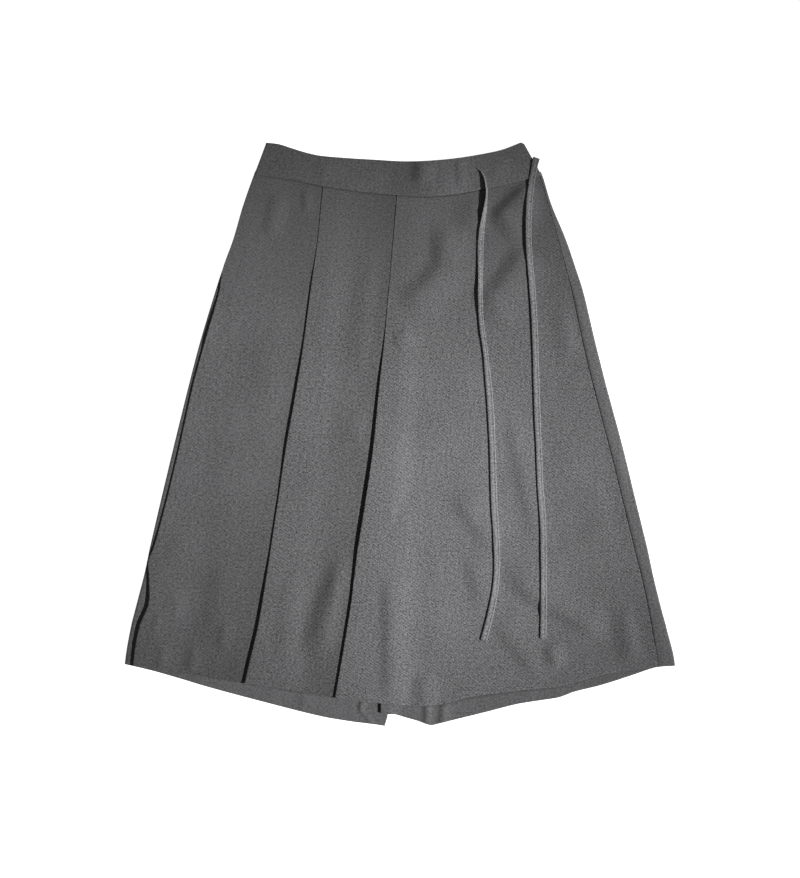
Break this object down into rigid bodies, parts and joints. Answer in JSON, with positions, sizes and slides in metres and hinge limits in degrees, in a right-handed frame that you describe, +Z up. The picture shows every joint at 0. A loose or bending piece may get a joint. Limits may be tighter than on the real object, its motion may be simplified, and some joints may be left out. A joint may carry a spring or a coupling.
{
  "type": "skort laid out flat",
  "caption": "Knee-length skort laid flat: a knife-pleated front overskirt with a curved waistband and long narrow ties, over wide short legs.",
  "frame": {"origin": "middle of the laid-out outline, on the surface it lies on", "axes": "+Z up from the surface, +Y towards the waist, +X towards the wearer's left side"},
  "size_m": [0.6599, 0.6994, 0.0125],
  "materials": {
    "skirt_cloth": "grey melange wool-blend twill, dull, fine diagonal ribs",
    "band_cloth": "the same twill, turned and pressed, slightly darker in the light",
    "leg_cloth": "the same twill",
    "tie_cloth": "the same twill as a narrow turned strap, stitched along its edge"
  },
  "bodies": {
    "root": {"waistband_back": "band_cloth", "waistband_front_right": "band_cloth", "waistband_front_left": "band_cloth", "overskirt_right_gore": "skirt_cloth", "overskirt_middle_gore": "skirt_cloth", "overskirt_left_gore": "skirt_cloth", "shorts_front_right": "leg_cloth", "shorts_front_left": "leg_cloth", "shorts_back_right": "leg_cloth", "shorts_back_left": "leg_cloth", "tie_front": "tie_cloth", "tie_side": "tie_cloth"}
  },
  "joints": []
}
